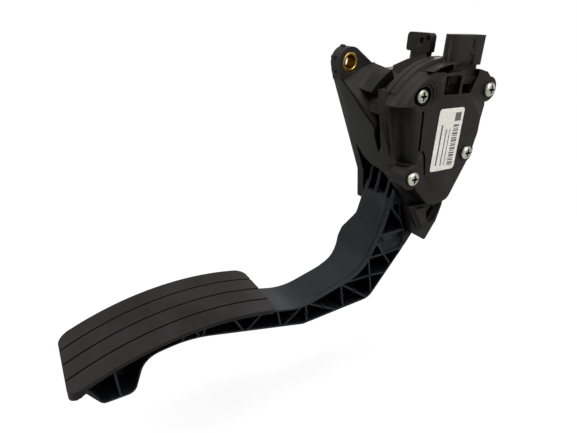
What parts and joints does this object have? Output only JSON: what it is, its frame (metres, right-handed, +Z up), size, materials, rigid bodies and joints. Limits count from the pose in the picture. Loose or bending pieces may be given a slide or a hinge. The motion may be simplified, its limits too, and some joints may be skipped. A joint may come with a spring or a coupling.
{
  "type": "accelerator pedal",
  "caption": "Moulded car accelerator pedal: ribbed swinging arm with a grooved curved pad, hung from a housing with a screwed sensor cover, plug socket and sleeved mounting ears.",
  "frame": {"origin": "where the pivot axis meets the mounting face of the housing", "axes": "+X along the pivot, away from the mounting face towards the sensor cover; +Y forward, away from the driver; +Z up"},
  "size_m": [0.0614, 0.2632, 0.1702],
  "materials": {
    "housing_nylon": "moulded glass-filled nylon, satin black",
    "arm_nylon": "moulded glass-filled nylon, satin black",
    "cover_pbt": "moulded black PBT",
    "pad_rubber": "moulded, fine grain",
    "sleeve_brass": "turned",
    "bush_acetal": "natural acetal",
    "friction_washer": "friction compound",
    "stop_rubber": "moulded",
    "seal_silicone": "moulded silicone",
    "zinc_steel": "zinc plated",
    "board_laminate": "solder mask",
    "chip_epoxy": "moulded epoxy",
    "tinned_brass": "tinned",
    "label_film": "printed polyester film, bare",
    "shaft_steel": "ground",
    "carrier_nylon": "moulded",
    "rotor_copper": "copper sheet",
    "spring_steel": "drawn wire"
  },
  "bodies": {
    "housing": {"housing": "housing_nylon", "mounting_sleeves": "sleeve_brass", "left_bush": "bush_acetal", "right_bush": "bush_acetal", "left_friction_washer": "friction_washer", "right_friction_washer": "friction_washer", "idle_stop": "stop_rubber", "full_travel_stop": "stop_rubber", "sensor_cover": "cover_pbt", "cover_seal": "seal_silicone", "cover_screws": "zinc_steel", "circuit_board": "board_laminate", "sensor_chips": "chip_epoxy", "connector_pins": "tinned_brass", "label": "label_film", "left_return_spring": "spring_steel", "right_return_spring": "spring_steel"},
    "pedal": {"pedal_arm": "arm_nylon", "pedal_pad": "pad_rubber", "pivot_shaft": "shaft_steel", "rotor_carrier": "carrier_nylon", "rotor": "rotor_copper"}
  },
  "joints": [
    {"name": "pedal_pivot", "type": "hinge", "parent": "housing", "child": "pedal", "pos_m": [0, 0, 0], "axis": [1, 0, 0], "range_deg": [0, 16], "stiffness_Nm_per_rad": 12, "springref_deg": -16.04, "deforming": ["left_return_spring", "right_return_spring"]}
  ]
}
